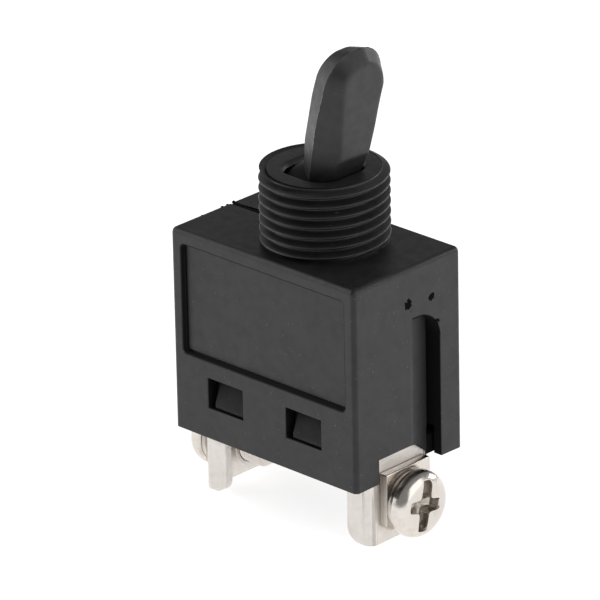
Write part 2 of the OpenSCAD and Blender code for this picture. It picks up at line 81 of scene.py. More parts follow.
# A face looks up when its normal rises more than this
LOOKS_UP = 0.99
# Edges above this angle, in degrees, count as sharp
SHARP_ANGLE = 40
# Shorter edges than this are not rounded, except round the label panel
SHORT_EDGE = 0.25
# Steps of a search that halves its range
HALVINGS = 40

# Camera of the photograph: direction, roll, distance, target and lens
VIEW_AZIMUTH = math.radians(44.233)
VIEW_ELEVATION = math.radians(23.427)
VIEW_ROLL = math.radians(-1.178)
VIEW_DISTANCE = 603.531 * MM
VIEW_TARGET = Vector((-3.407, -0.024, -6.985)) * MM
SENSOR_WIDTH = 36
FOCAL_LENGTH = 391


def make_camera():
    """Camera that sees the object as the photograph does."""
    back = Vector((
        math.sin(VIEW_AZIMUTH) * math.cos(VIEW_ELEVATION),
        -math.cos(VIEW_AZIMUTH) * math.cos(VIEW_ELEVATION),
        math.sin(VIEW_ELEVATION),
    ))
    level = Vector((math.cos(VIEW_AZIMUTH), math.sin(VIEW_AZIMUTH), 0))
    upright = back.cross(level)
    right = math.cos(VIEW_ROLL) * level + math.sin(VIEW_ROLL) * upright
    up = -math.sin(VIEW_ROLL) * level + math.cos(VIEW_ROLL) * upright
    data = bpy.data.cameras.new("camera")
    data.sensor_width = SENSOR_WIDTH
    data.lens = FOCAL_LENGTH
    camera = bpy.data.objects.new("camera", data)
    turn = Matrix((right, up, back)).transposed().to_4x4()
    camera.matrix_world = Matrix.Translation(VIEW_TARGET + VIEW_DISTANCE * back) @ turn
    bpy.context.scene.collection.objects.link(camera)
    bpy.context.scene.camera = camera


# Node helpers

# Colour sockets of a Mix node: they share their names with others, so they are called by number
MIX_FIRST = 6
MIX_SECOND = 7
MIX_RESULT = 2


class Graph:
    """A material's node tree, with short calls to add and join nodes."""

    def __init__(self, name):
        self.material = bpy.data.materials.new(name)
        self.material.use_nodes = True
        self.tree = self.material.node_tree
        self.tree.nodes.clear()
        self.output = self.add("ShaderNodeOutputMaterial")
        self.place = self.add("ShaderNodeTexCoord").outputs["Object"]

    def add(self, kind, values=None, **settings):
        """A new node with these settings, its inputs fed with these values."""
        node = self.tree.nodes.new(kind)
        for key, value in settings.items():
            setattr(node, key, value)
        for key, value in (values or {}).items():
            self.feed(node.inputs[key], value)
        return node

    def feed(self, socket, value):
        """Joins another node's output to an input, or sets the input to a plain value."""
        if isinstance(value, bpy.types.NodeSocket):
            self.tree.links.new(value, socket)
        else:
            socket.default_value = value

    def noise(self, size, detail, rough=0.5, stretch=None):
        """Noise whose grains are about this many millimetres across."""
        place = self.place
        if stretch:
            place = self.add("ShaderNodeMapping", {"Vector": place, "Scale": stretch}).outputs[0]
        values = {"Vector": place, "Scale": 1 / (size * MM), "Detail": detail, "Roughness": rough}
        return self.add("ShaderNodeTexNoise", values).outputs["Fac"]

    def mask(self, name):
        """A value that the mesh carries at its points."""
        return self.add("ShaderNodeAttribute", attribute_name=name).outputs["Fac"]

    def map(self, value, low, high, to_low, to_high):
        """Stretches one range over another and holds the value inside it."""
        values = {
            "Value": value, "From Min": low, "From Max": high, "To Min": to_low, "To Max": to_high,
        }
        return self.add("ShaderNodeMapRange", values).outputs[0]

    def mix(self, factor, first, second):
        """Goes from the first colour to the second as the factor goes from 0 to 1."""
        values = {"Factor": factor, MIX_FIRST: first, MIX_SECOND: second}
        return self.add("ShaderNodeMix", values, data_type="RGBA").outputs[MIX_RESULT]

    def bump(self, height, depth, strength, normal=None):
        """Bump of this many millimetres."""
        values = {"Height": height, "Distance": depth * MM, "Strength": strength}
        if normal:
            values["Normal"] = normal
        return self.add("ShaderNodeBump", values).outputs[0]

    def finish(self, shader):
        """Joins the shader to the output and hands back the material."""
        self.tree.links.new(shader.outputs[0], self.output.inputs["Surface"])
        return self.material


def colour(*srgb):
    """A colour given as it is seen, from 0 to 255."""
    linear = [((c / 255 + 0.055) / 1.055) ** 2.4 if c > 10 else c / 255 / 12.92 for c in srgb]
    return (*linear, 1.0)


def toned(tone, share):
    """A tone made darker or lighter by a share."""
    return tuple(part * share for part in tone[:3]) + (1.0,)


# Materials

# Plastic: sizes of its clouds, specks, patches of gloss and waves, and depths of its grain and waves
CLOUD_SIZE = 2.6
SPECK_SIZE = 0.22
PATCH_SIZE = 0.9
WAVE_SIZE = 3.5
GRAIN_DEPTH = 0.01
WAVE_DEPTH = 0.03
# Shares of the plastic's tone in its dark and light clouds, and what painted shade does to its tone and
# shine
DARK_CLOUD = 0.8
LIGHT_CLOUD = 1.25
SHADED_TONE = 0.5
SHADED_SHINE = (0.55, 0.55, 0.55, 1)
SHADED_ROUGHNESS = 0.95
# Metal: sizes of its stains, patches of gloss, drawn lines and dents, depths of the last two, and the brown
# of its dirt and painted shade
STAIN_SIZE = 1.4
POLISH_SIZE = 0.5
LINE_SIZE = 0.12
DENT_SIZE = 1.3
LINE_DEPTH = 0.004
DENT_DEPTH = 0.02
METAL_DIRT_AND_SHADE = colour(88, 78, 68)
METAL_DIRT_AND_SHADE_SHARE = 0.9


def moulded_plastic(name, tone, speck_tone, roughness, grain, shine=0.5):
    """Black moulded plastic: fine grain, cloudy gloss, pale specks of dust, darker and dull where painted
    shade is marked.
    """
    g = Graph(name)
    cloud = g.map(g.noise(CLOUD_SIZE, 3), 0.35, 0.65, 0.0, 1.0)
    tint = g.mix(cloud, toned(tone, DARK_CLOUD), toned(tone, LIGHT_CLOUD))
    speck = g.map(g.noise(SPECK_SIZE, 1), 0.76, 0.785, 0.0, 0.8)
    tint = g.mix(speck, tint, speck_tone)
    # Mark of painted shade: darker, duller and less shiny as it rises to 1, pale where it is below 0
    shade_and_dirt = g.mask(SHADE_AND_DIRT)
    tint = g.mix(g.map(shade_and_dirt, -1.0, 0.0, 1.0, 0.0), tint, speck_tone)
    mark = g.map(shade_and_dirt, 0.0, 1.0, 0.0, 1.0)
    tint = g.mix(mark, tint, toned(tone, SHADED_TONE))
    gloss = g.map(g.noise(PATCH_SIZE, 3), 0.3, 0.7, roughness - 0.06, roughness + 0.08)
    gloss = g.map(mark, 0.0, 1.0, gloss, SHADED_ROUGHNESS)
    sheen = g.mix(mark, WHITE, SHADED_SHINE)
    fine = g.bump(g.noise(grain, 2, 0.6), GRAIN_DEPTH, 0.5)
    wave = g.bump(g.noise(WAVE_SIZE, 1), WAVE_DEPTH, 0.3, fine)
    shader = g.add("ShaderNodeBsdfPrincipled", {
        "Base Color": tint, "Roughness": gloss, "IOR": 1.5, "Normal": wave,
        "Specular IOR Level": shine, "Specular Tint": sheen,
    })
    return g.finish(shader)


def plated_metal(name, tone, stain_tone, roughness, brush=None):
    """Bright plating over stamped or turned metal: drawn lines, faint stains, brown where dirt and painted
    shade are marked.
    """
    g = Graph(name)
    stain = g.map(g.noise(STAIN_SIZE, 4, 0.6), 0.5, 0.75, 0.0, 0.4)
    tint = g.mix(stain, tone, stain_tone)
    # Mark of dirt and painted shade: brown and darker as it rises
    mark = g.map(g.mask(SHADE_AND_DIRT), 0.0, 1.0, 0.0, METAL_DIRT_AND_SHADE_SHARE)
    tint = g.mix(mark, tint, METAL_DIRT_AND_SHADE)
    gloss = g.map(g.noise(POLISH_SIZE, 4, 0.6), 0.3, 0.7, roughness * 0.8, roughness * 1.25)
    lines = g.bump(g.noise(LINE_SIZE, 2, 0.6, brush), LINE_DEPTH, 0.2)
    dents = g.bump(g.noise(DENT_SIZE, 1), DENT_DEPTH, 0.15, lines)
    shader = g.add("ShaderNodeBsdfPrincipled", {
        "Base Color": tint, "Metallic": 1.0, "Roughness": gloss, "Normal": dents,
    })
    return g.finish(shader)


def make_materials():
    """The finishes by name: one for each slot of the record, and one for torn plastic."""
    dust = colour(110, 108, 105)
    plastics = {
        "case_plastic": dict(tone=colour(33, 33, 34), speck_tone=dust, roughness=0.42, grain=0.07),
        "lever_plastic": dict(tone=colour(34, 34, 35), speck_tone=dust, roughness=0.43, grain=0.09),
        # Darker and less shiny than the case: painted shade for the hooks and toes, which lie in the windows
        # and the end slots
        "base_plastic": dict(
            tone=colour(28, 28, 29), speck_tone=colour(80, 78, 76), roughness=0.5, grain=0.08, shine=0.25),
        # Dull torn plastic: with the full mark it paints the shade inside the torn spots
        "torn_plastic": dict(
            tone=colour(30, 29, 28), speck_tone=colour(150, 147, 142), roughness=0.9, grain=0.05, shine=0.1),
    }
    metals = {
        "plated_brass": dict(
            tone=colour(228, 223, 218), stain_tone=colour(210, 202, 194), roughness=0.5, brush=(1, 1, 0.12)),
        "plated_steel": dict(
            tone=colour(220, 214, 207), stain_tone=colour(186, 175, 163), roughness=0.22),
        "bare_brass": dict(
            tone=colour(206, 178, 112), stain_tone=colour(140, 104, 52), roughness=0.28, brush=(0.12, 1, 1)),
        "contact_silver": dict(
            tone=colour(236, 234, 230), stain_tone=colour(150, 146, 140), roughness=0.3),
        "spring_steel": dict(
            tone=colour(176, 178, 182), stain_tone=colour(110, 108, 106), roughness=0.25),
    }
    made = {name: moulded_plastic(name, **look) for name, look in plastics.items()}
    made.update({name: plated_metal(name, **look) for name, look in metals.items()})
    return made


# Numbers and places


def held(value, low=0.0, high=1.0):
    """A value held between two limits."""
    return min(max(value, low), high)


def angles(count):
    """Directions spread evenly round a circle."""
    return [2 * math.pi * i / count for i in range(count)]


def polar(radius, angle, z):
    """Place at a radius and an angle round the Z axis."""
    return Vector((radius * math.cos(angle), radius * math.sin(angle), z))


def placed(place, rings):
    """Rings of points in millimetres, put in their place in metres."""
    return [[place @ (point * MM) for point in ring] for ring in rings]


def farthest(inside, limit):
    """Largest length, up to a limit, that a test calls inside."""
    near, far = 0.0, limit
    for _ in range(HALVINGS):
        middle = (near + far) / 2
        if inside(middle):
            near = middle
        else:
            far = middle
    return near


# Shapes


def new_piece(name, mesh, material, body, slot, *stands_for):
    """Makes an object of a mesh, lets it ride on a body, if one is named, and stand for its nodes."""
    piece = bpy.data.objects.new(name, mesh)
    bpy.context.scene.collection.objects.link(piece)
    mesh.materials.append(material)
    if body:
        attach(piece, body)
    if stands_for:
        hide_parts(*stands_for)
    return piece


def mesh_of(bm, name, sharp_angle=None):
    """Turns a bmesh into a smooth mesh, with sharp edges above an angle in degrees, if one is given."""
    bmesh.ops.recalc_face_normals(bm, faces=bm.faces)
    for face in bm.faces:
        face.smooth = True
    mesh = bpy.data.meshes.new(name)
    bm.to_mesh(mesh)
    bm.free()
    if sharp_angle is not None:
        mesh.set_sharp_from_angle(angle=math.radians(sharp_angle))
    return mesh


def node_bmesh(node):
    """A node's mesh as a clean bmesh, with its flat faces whole."""
    bm = bmesh.new()
    bm.from_mesh(nodes[node].data)
    bmesh.ops.remove_doubles(bm, verts=bm.verts, dist=WELD * MM)
    bmesh.ops.dissolve_limit(bm, angle_limit=math.radians(FLAT_ANGLE), verts=bm.verts, edges=bm.edges)
    return bm


def is_long(edge):
    """True for an edge that is long enough to be rounded."""
    return edge.calc_length() > SHORT_EDGE * MM


def round_edges(bm, width, angle, wanted):
    """Rounds the wanted edges that are sharper than an angle, in degrees, by a width in millimetres."""
    limit = math.radians(angle)
    edges = [
        edge for edge in bm.edges
        if len(edge.link_faces) == 2 and edge.calc_face_angle() > limit and wanted(edge)
    ]
    bmesh.ops.bevel(
        bm, geom=edges, offset=width * MM, offset_type="OFFSET", segments=2, profile=0.5,
        affect="EDGES", clamp_overlap=False,
    )


def even_normals(piece):
    """Keeps the flat faces flat beside rounded edges."""
    even = piece.modifiers.new("even", "WEIGHTED_NORMAL")
    even.weight = 100
    even.keep_sharp = True


def add_shade_and_dirt(bm, shade_and_dirt):
    """Gives each point the mark of painted shade or dirt that a function says for its place."""
    mark = bm.verts.layers.float.new(SHADE_AND_DIRT)
    for vert in bm.verts:
        vert[mark] = shade_and_dirt(vert.co)


def add_tube(bm, rings, closed_ends=True):
    """Skin over a row of rings of points, each ring closed."""
    made = [[bm.verts.new(point) for point in ring] for ring in rings]
    count = len(made[0])
    for low, high in zip(made, made[1:]):
        for i in range(count):
            j = (i + 1) % count
            bm.faces.new((low[i], low[j], high[j], high[i]))
    if closed_ends:
        bm.faces.new(list(reversed(made[0])))
        bm.faces.new(made[-1])
    return made


def cut_off(bm, place, outward):
    """Takes away what lies beyond a plane and closes the cut."""
    geometry = bm.verts[:] + bm.edges[:] + bm.faces[:]
    cut = bmesh.ops.bisect_plane(bm, geom=geometry, plane_co=place, plane_no=outward, clear_outer=True)
    rim = [element for element in cut["geom_cut"] if isinstance(element, bmesh.types.BMEdge)]
    bmesh.ops.contextual_create(bm, geom=rim)


# Threads

# One ridge of a thread: half its foot in pitches, how far its skirt sinks in and the points on each flank
RIDGE_HALF = 0.46
RIDGE_SINK = -0.3
RIDGE_STEPS = 9
# The fade starts this share of a turn before the ridge does, and ends as much after it
FADE_LEAD = 0.01
THREAD_WELD = 1e-4


def ridge_out(along):
    """How far the ridge stands out at a place along its pitch: a round crest between round grooves."""
    share = min(along / RIDGE_HALF, 1.0)
    return (1 + math.cos(math.pi * share)) / 2


def add_thread(bm, place, root, crest, pitch, start, turns, reach, fade, steps):
    """Helical ridge round local Z, cut off at its reach, that fades in and out over shares of a turn."""
    flank = [RIDGE_HALF * i / RIDGE_STEPS for i in range(RIDGE_STEPS + 1)]
    outline = [-along for along in flank[:0:-1]] + flank
    rings = []
    for i in range(int(turns * steps) + 1):
        turn = i / steps
        grown = min(1.0, (turn + FADE_LEAD) / fade[0], (turns - turn + FADE_LEAD) / fade[1])
        ring = []
        for along in outline:
            z = held(start + pitch * (turn + along), *reach)
            out = grown * ridge_out(abs((z - start) / pitch - turn))
            if abs(along) == RIDGE_HALF:
                out = RIDGE_SINK
            ring.append(polar(root + (crest - root) * out, 2 * math.pi * turn, z))
        rings.append(ring)
    made = add_tube(bm, placed(place, rings))
    bmesh.ops.remove_doubles(bm, verts=[vert for ring in made for vert in ring], dist=THREAD_WELD * MM)


# Housing: the moulded case with its label panel, and a helical thread on its neck

# The neck: root, crest and pitch of its thread, its top, and the top of the collar at its foot
NECK_ROOT = 5.28
NECK_CREST = 6.08
NECK_PITCH = 1.0
NECK_TOP = 7.3
COLLAR_TOP = 0.1
# Its thread: where a ridge crosses the front, turns, reach along the axis, fades at both ends and steps
THREAD_FRONT_PHASE = 0.65
THREAD_TURNS = 8.1
THREAD_REACH = (-0.3, NECK_TOP - 0.005)
THREAD_FADE = (0.05, 0.01)
THREAD_STEPS = 90
FRONT_ANGLE = math.radians(314)
# The neck's opening: half its sides, its corners and chamfer, the points round it and the foot of its lip
OPENING_HALF = (3.02, 3.4)
OPENING_CORNER = 2.0
OPENING_CHAMFER = 0.3
OPENING_STEPS = 180
LIP_FOOT = 6.92
# How far the lip reaches down past its foot, and the neck's end out past the root of the thread
LIP_LAP = 0.03
NECK_LAP = 0.02
# What belongs to the opening of the solid's neck lies at least this far inside the root of the thread
NECK_INSET = 0.05
DOME_RISE = 0.04
DOME_RINGS = 10
# The case: its middle and half length along X, its front, its rounded and broken edges, and the painted dark
# reflection on its front right edge
CASE_MIDDLE = -1.4
CASE_HALF = 11.65
CASE_FRONT = -7.15
EDGE_ROUND = 0.5
EDGE_BREAK = 0.09
EDGE_DARK_REFLECTION = 0.12
# Scoops in both ends: where they start and stop along Y, their top, and how their painted shade thickens
SCOOP_START = 0.2
SCOOP_STOP = 4.3
SCOOP_TOP = -5.2
SCOOP_DARK = 2.3
SCOOP_CURVE = 0.7
# Groove from the line end to the neck: its sides along Y, its floor and its end along X
GROOVE_SIDES = (0.45, 1.25)
GROOVE_FLOOR = -0.35
GROOVE_END = 0.5 - NECK_ROOT
# Sunk label panel: where it can lie along Z, its distance from the case's ends and its rounded rim
PANEL_REACH = (-13.8, -0.6)
PANEL_MARGIN = 0.6
RIM_ROUND = 0.26
# Crumb of torn plastic: its sides, its rings as shares of radius and height, and how uneven they are
CRUMB_SIDES = 9
CRUMB_RINGS = ((1.0, -0.3), (0.7, 0.6), (0.3, 1.0))
CRUMB_REACH = (0.6, 1.4)
CRUMB_LIFT = (0.5, 1.2)
# Torn spots on the load end: places along Y and Z, and radius
PITS = ((0.06, -3.7, 0.62), (3.15, -3.86, 0.48), (3.79, -6.32, 0.42))
PIT_SEED = 11
# Dark crumbs of a spot, which paint the shade inside its hollow: count, spread along Y and Z and radius as
# shares of the spot's radius, and height
DARK_COUNT = 3
DARK_SPREAD = ((-0.3, 0.3), (-0.5, 0.5))
DARK_RADIUS = 0.7
DARK_HEIGHT = 0.03
# Pale crumbs along its lower edge: count, spread in the same shares, radii, height and the mark that makes
# them pale
PALE_COUNT = 6
PALE_SPREAD = ((-0.2, 1.3), (-1.3, -0.2))
PALE_RADII = (0.04, 0.09)
PALE_HEIGHT = 0.07
PALE_MARK = -0.5
# Flash on the line end's top edge: place along Y, radius and height, and where it starts along Z
FLASH = ((1.05, 0.18, 0.2), (0.2, 0.15, 0.1), (-0.5, 0.15, 0.12), (-3.2, 0.1, 0.08))
FLASH_FOOT = -0.08


def in_panel(point):
    """True for a place that is away from the case's ends and top, and above the windows."""
    x, _, z = point / MM
    return abs(x - CASE_MIDDLE) < CASE_HALF - PANEL_MARGIN and PANEL_REACH[0] < z < PANEL_REACH[1]


def on_rim(edge):
    """True for an edge of the front face round the label panel."""
    return all(vert.co.y < (CASE_FRONT + NEAR) * MM and in_panel(vert.co) for vert in edge.verts)


def on_case(edge):
    """True for any other long edge from the top of the case down."""
    low = all(vert.co.z < NEAR * MM for vert in edge.verts)
    return low and is_long(edge) and not on_rim(edge)


def case_painted_shade(point):
    """Painted shade in the end scoops, thicker at their far wall, in the panel's rim and the groove, and a
    painted dark reflection on one edge.
    """
    x, y, z = point / MM
    depth = CASE_HALF - abs(x - CASE_MIDDLE)
    behind = y - CASE_FRONT
    # Painted shade in the scoops, darkest at their far wall
    in_scoop = SCOOP_START < y < SCOOP_STOP + NEAR and z < SCOOP_TOP
    if in_scoop and depth > NEAR:
        return min((y - SCOOP_START) / SCOOP_DARK, 1.0) ** SCOOP_CURVE
    # Painted dark reflection on the front right edge
    on_edge = x > CASE_MIDDLE and INSIDE < depth < EDGE_ROUND - INSIDE
    if on_edge and INSIDE < behind < EDGE_ROUND - INSIDE:
        return EDGE_DARK_REFLECTION
    # Painted shade line in the rim round the sunk panel
    if INSIDE < behind < RIM_ROUND + INSIDE and in_panel(point):
        return 1.0
    # Painted shade in the groove
    in_groove = GROOVE_SIDES[0] - NEAR < y < GROOVE_SIDES[1] + NEAR and x < GROOVE_END
    if in_groove and GROOVE_FLOOR - NEAR < z < -INSIDE:
        return 1.0
    return 0.0


def add_crumb(bm, centre, normal, radius, height, chance):
    """Low uneven lump of torn plastic on a face; hands back its points."""
    side = normal.orthogonal().normalized()
    other = normal.cross(side)
    rings = []
    for share, rise in CRUMB_RINGS:
        ring = []
        for angle in angles(CRUMB_SIDES):
            reach = radius * share * chance.uniform(*CRUMB_REACH)
            lift = height * rise * chance.uniform(*CRUMB_LIFT)
            offset = (side * math.cos(angle) + other * math.sin(angle)) * reach + normal * lift
            ring.append((centre + offset) * MM)
        rings.append(ring)
    return [vert for ring in add_tube(bm, rings) for vert in ring]


def step_aside(spread, radius, chance):
    """Random step along Y and Z, within ranges that are shares of a radius."""
    return Vector((0, chance.uniform(*spread[0]), chance.uniform(*spread[1]))) * radius


def make_pits(materials):
    """Torn spots on the load end, with dark crumbs that paint the shade in their hollows and pale crumbs at
    their edges, and flash on the line end's top.
    """
    bm = bmesh.new()
    mark = bm.verts.layers.float.new(SHADE_AND_DIRT)
    chance = random.Random(PIT_SEED)
    outward = Vector((1, 0, 0))
    upward = Vector((0, 0, 1))
    for y, z, radius in PITS:
        centre = Vector((CASE_MIDDLE + CASE_HALF, y, z))
        # Dark crumbs paint the shade inside the torn hollow
        for _ in range(DARK_COUNT):
            place = centre + step_aside(DARK_SPREAD, radius, chance)
            for vert in add_crumb(bm, place, outward, DARK_RADIUS * radius, DARK_HEIGHT, chance):
                vert[mark] = 1.0
        for _ in range(PALE_COUNT):
            place = centre + step_aside(PALE_SPREAD, radius, chance)
            pale_radius = chance.uniform(*PALE_RADII)
            for vert in add_crumb(bm, place, outward, pale_radius, PALE_HEIGHT, chance):
                vert[mark] = PALE_MARK
    for y, radius, height in FLASH:
        place = Vector((CASE_MIDDLE - CASE_HALF + EDGE_ROUND / 2, y, FLASH_FOOT))
        add_crumb(bm, place, upward, radius, height, chance)
    mesh = mesh_of(bm, "torn_spots", SHARP_ANGLE)
    new_piece("torn_spots", mesh, materials["torn_plastic"], "case", "case_plastic")


def narrow_neck(bm):
    """Brings the rings of the solid's thread in to its root, which makes room for the helix."""
    for vert in bm.verts:
        radius = math.hypot(vert.co.x, vert.co.y)
        if vert.co.z > COLLAR_TOP * MM and radius > NECK_ROOT * MM:
            vert.co.x *= NECK_ROOT * MM / radius
            vert.co.y *= NECK_ROOT * MM / radius
    bmesh.ops.remove_doubles(bm, verts=bm.verts, dist=WELD * MM)


def opening_point(angle, grown):
    """Radius of the neck's opening, grown outwards, in this direction from its middle."""
    def inside(radius):
        over_x = max(abs(radius * math.cos(angle)) - OPENING_HALF[0] + OPENING_CORNER, 0)
        over_y = max(abs(radius * math.sin(angle)) - OPENING_HALF[1] + OPENING_CORNER, 0)
        return math.hypot(over_x, over_y) < OPENING_CORNER + grown

    return farthest(inside, 2 * OPENING_HALF[1])


def shape_neck_top(bm):
    """Gives the neck a slightly domed end with a chamfered opening, in place of its flat end."""
    top = (NECK_TOP - NEAR) * MM
    flat = [face for face in bm.faces if face.normal.z > LOOKS_UP and face.calc_center_median().z > top]
    bmesh.ops.delete(bm, geom=flat, context="FACES")
    for vert in bm.verts:
        if vert.co.z > top and math.hypot(vert.co.x, vert.co.y) < (NECK_ROOT - NECK_INSET) * MM:
            vert.co.z = LIP_FOOT * MM
    rings = [[] for _ in range(DOME_RINGS + 2)]
    for angle in angles(OPENING_STEPS):
        heading = polar(1, angle, 0)
        lip = opening_point(angle, -NEAR)
        brim = opening_point(angle, OPENING_CHAMFER)
        rings[0].append((lip * heading + Vector((0, 0, LIP_FOOT - LIP_LAP))) * MM)
        for i, ring in enumerate(rings[1:]):
            share = i / DOME_RINGS
            radius = brim + (NECK_ROOT + NECK_LAP - brim) * share
            height = NECK_TOP + DOME_RISE * (1 - share * share)
            ring.append((radius * heading + Vector((0, 0, height))) * MM)
    add_tube(bm, rings, closed_ends=False)


def in_order(elements):
    """Elements of a mesh in the order of their numbers, which a set does not keep."""
    return sorted(elements, key=lambda element: element.index)


def corner_verts(bm, centre, axes):
    """Points that lie outwards of a centre along each of its axes."""
    return [vert for vert in bm.verts if all((vert.co - centre).dot(axis) > -TOUCH * MM for axis in axes)]


def round_corners(bm):
    """Turns the four upper corners of the case, where three rounded edges meet, into parts of a ball."""
    for side, way in ((-1, -1), (-1, 1), (1, -1), (1, 1)):
        across = side * (CASE_HALF - EDGE_ROUND)
        along = way * (-CASE_FRONT - EDGE_ROUND)
        centre = Vector((CASE_MIDDLE + across, along, -EDGE_ROUND)) * MM
        axes = (Vector((side, 0, 0)), Vector((0, way, 0)), Vector((0, 0, 1)))
        for axis in axes:
            for elements in (bm.verts, bm.edges, bm.faces):
                elements.index_update()
            faces = {face for vert in corner_verts(bm, centre, axes) for face in vert.link_faces}
            edges = {edge for face in faces for edge in face.edges}
            verts = {vert for face in faces for vert in face.verts}
            geometry = in_order(verts) + in_order(edges) + in_order(faces)
            bmesh.ops.bisect_plane(bm, geom=geometry, plane_co=centre, plane_no=axis, dist=TOUCH * MM)
        for vert in corner_verts(bm, centre, axes):
            outward = vert.co - centre
            if outward.length > EDGE_ROUND * MM:
                vert.co = centre + outward.normalized() * EDGE_ROUND * MM


def make_housing(materials):
    """The case and its neck in one piece."""
    bm = node_bmesh("housing")
    narrow_neck(bm)
    shape_neck_top(bm)
    round_corners(bm)
    round_edges(bm, EDGE_BREAK, SHARP_ANGLE, on_case)
    round_edges(bm, RIM_ROUND, SHARP_ANGLE, on_rim)
    turn = Matrix.Rotation(FRONT_ANGLE, 4, "Z")
    add_thread(
        bm, turn, NECK_ROOT, NECK_CREST, NECK_PITCH, THREAD_FRONT_PHASE - NECK_PITCH, THREAD_TURNS,
        THREAD_REACH, THREAD_FADE, THREAD_STEPS,
    )
    # Painted shade in the scoops, the panel's rim and the groove, and a painted dark reflection on one edge
    add_shade_and_dirt(bm, case_painted_shade)
    mesh = mesh_of(bm, "case_shell", SHARP_ANGLE)
    shell = new_piece("case_shell", mesh, materials["case_plastic"], "case", "case_plastic", "housing")
    even_normals(shell)


# Lever: a tapered paddle with a domed end, two flats and the line of its mould

# Tilt at rest in degrees, height of the cut above the root, and the paddle's ends, widths and corners
LEVER_TILT = 14.6
LEVER_CUT = 1.2
LEVER_FOOT = -0.5
LEVER_LENGTH = 17.25
LEVER_ROOT_HALF = 2.61
LEVER_SPREAD = 0.1
LEVER_TIP_HALF = 3.82
LEVER_CORNER = 3.2
LEVER_BACK_CORNER = 4.5
LEVER_BEVEL = 0.565
# Bevels of the dome on the line side and on the load side
LEVER_TIP_BEVELS = (0.48, 0.8)
# Where the straight part starts to turn into the dome, and how long that takes
TIP_START = 8.5
TIP_RUN = 5.0
RIDGE_SHIFT = 0.3
# Its two flats: how far out they lie at the waist, the root and the top, and how they spread and lean
FLAT_WAIST = 1.8
FLAT_ROOT = 0.937
FLAT_SPREAD = 0.214
FLAT_TOP = 2.96
FLAT_LEAN = 0.0866
LEVER_SOFT = 11.0
# A ray from the middle of the lever has left it before this length
LEVER_BOUND = 6.0
# Middle of the dome
LEVER_HEART = Vector((RIDGE_SHIFT, 0, LEVER_LENGTH - LEVER_TIP_HALF))
# Points round the lever, and rings of them along its straight part and over its dome
LEVER_COLUMNS = 180
LEVER_RINGS = 64
LEVER_CAPS = 44
LEVER_SHARP = 30
# Mould line: the columns that it runs along, how far it stands out and how far it wanders
MOULD_COLUMNS = (LEVER_COLUMNS // 4, 3 * LEVER_COLUMNS // 4)
MOULD_RISE = 0.05
MOULD_WANDER = 0.03
MOULD_SEED = 4
# Ball round the pivot: its radius, half its thickness and the height of its cut
BALL_RADIUS = 4.6
BALL_HALF = 3.15
BALL_CUT = 2.1
# The ball has no painted shade along its middle, and painted shade grows towards its flat sides
BALL_UNSHADED = 0.6
BALL_FADE = 1.4


def lever_place(tilt):
    """Frame of the lever at its pivot, tilted by an angle in degrees."""
    return Matrix.Translation(LEVER_PIVOT) @ Matrix.Rotation(math.radians(tilt), 4, "Y")


def soft_max(values, sharpness):
    """The largest value, eased where others come near it."""
    top = max(values)
    return top + math.log(sum(math.exp(sharpness * (value - top)) for value in values)) / sharpness


def tip_share(z):
    """Rises softly from 0 on the straight part of the lever to 1 at its dome."""
    share = held((z - TIP_START) / TIP_RUN)
    return share * share * (3 - 2 * share)


def lever_distance(x, y, z):
    """Below zero inside the lever, in its own frame and in millimetres."""
    side = abs(y) - LEVER_ROOT_HALF - LEVER_SPREAD * z
    corner = LEVER_CORNER if y < 0 else LEVER_BACK_CORNER
    reach = min(corner, LEVER_TIP_HALF)
    over_y = max(abs(y) - (LEVER_TIP_HALF - reach), 0) * corner / reach
    over_z = max(z - (LEVER_LENGTH - corner), 0)
    cap = math.hypot(over_y, over_z) - corner
    off_ridge = x - RIDGE_SHIFT * tip_share(z)
    slope = LEVER_BEVEL + (LEVER_TIP_BEVELS[off_ridge > 0] - LEVER_BEVEL) * tip_share(z)
    bevel = (max(side, cap) + slope * abs(off_ridge)) / math.hypot(1, slope)
    belly = min(FLAT_ROOT + FLAT_SPREAD * z, FLAT_TOP - FLAT_LEAN * z)
    flat = abs(x) - max(FLAT_WAIST if z < LEVER_LENGTH / 2 else 0, belly)
    return soft_max([bevel, flat], LEVER_SOFT)


def lever_point(origin, direction):
    """Where a ray from inside leaves the lever."""
    def inside(length):
        return lever_distance(*(origin + length * direction)) < 0

    return origin + farthest(inside, LEVER_BOUND) * direction


def lever_skin():
    """Rings of points on the lever, from its foot up the straight part and then over the dome."""
    levels = [LEVER_FOOT + (LEVER_HEART.z - LEVER_FOOT) * i / LEVER_RINGS for i in range(LEVER_RINGS)]
    rays = [(Vector((RIDGE_SHIFT * tip_share(z), 0, z)), 0.0) for z in levels]
    rays += [(LEVER_HEART, math.pi / 2 * i / LEVER_CAPS) for i in range(LEVER_CAPS)]
    skin = []
    for origin, rise in rays:
        directions = [polar(math.cos(rise), angle, math.sin(rise)) for angle in angles(LEVER_COLUMNS)]
        skin.append([lever_point(origin, direction) for direction in directions])
    return skin


def raise_mould_line(skin):
    """Lifts the points along the mould line by uneven amounts."""
    chance = random.Random(MOULD_SEED)
    for ring in skin:
        for column in MOULD_COLUMNS:
            point = ring[column]
            outward = Vector((0, point.y, max(point.z - LEVER_HEART.z, 0))).normalized()
            rise = outward * chance.uniform(0.0, MOULD_RISE)
            ring[column] = point + (rise + Vector((chance.uniform(-MOULD_WANDER, MOULD_WANDER), 0, 0)))


def lever_root(pivot):
    """The node's pegs and arm, cut off below the paddle."""
    root = node_bmesh("lever")
    up = (pivot.to_3x3() @ Vector((0, 0, 1))).normalized()
    cut_off(root, pivot @ Vector((0, 0, LEVER_CUT * MM)), up)
    return root


def ball_painted_shade(point):
    """Painted shade on the ball, growing towards its flat sides, in its own frame."""
    return held((abs(point.y) / MM - BALL_UNSHADED) / BALL_FADE)


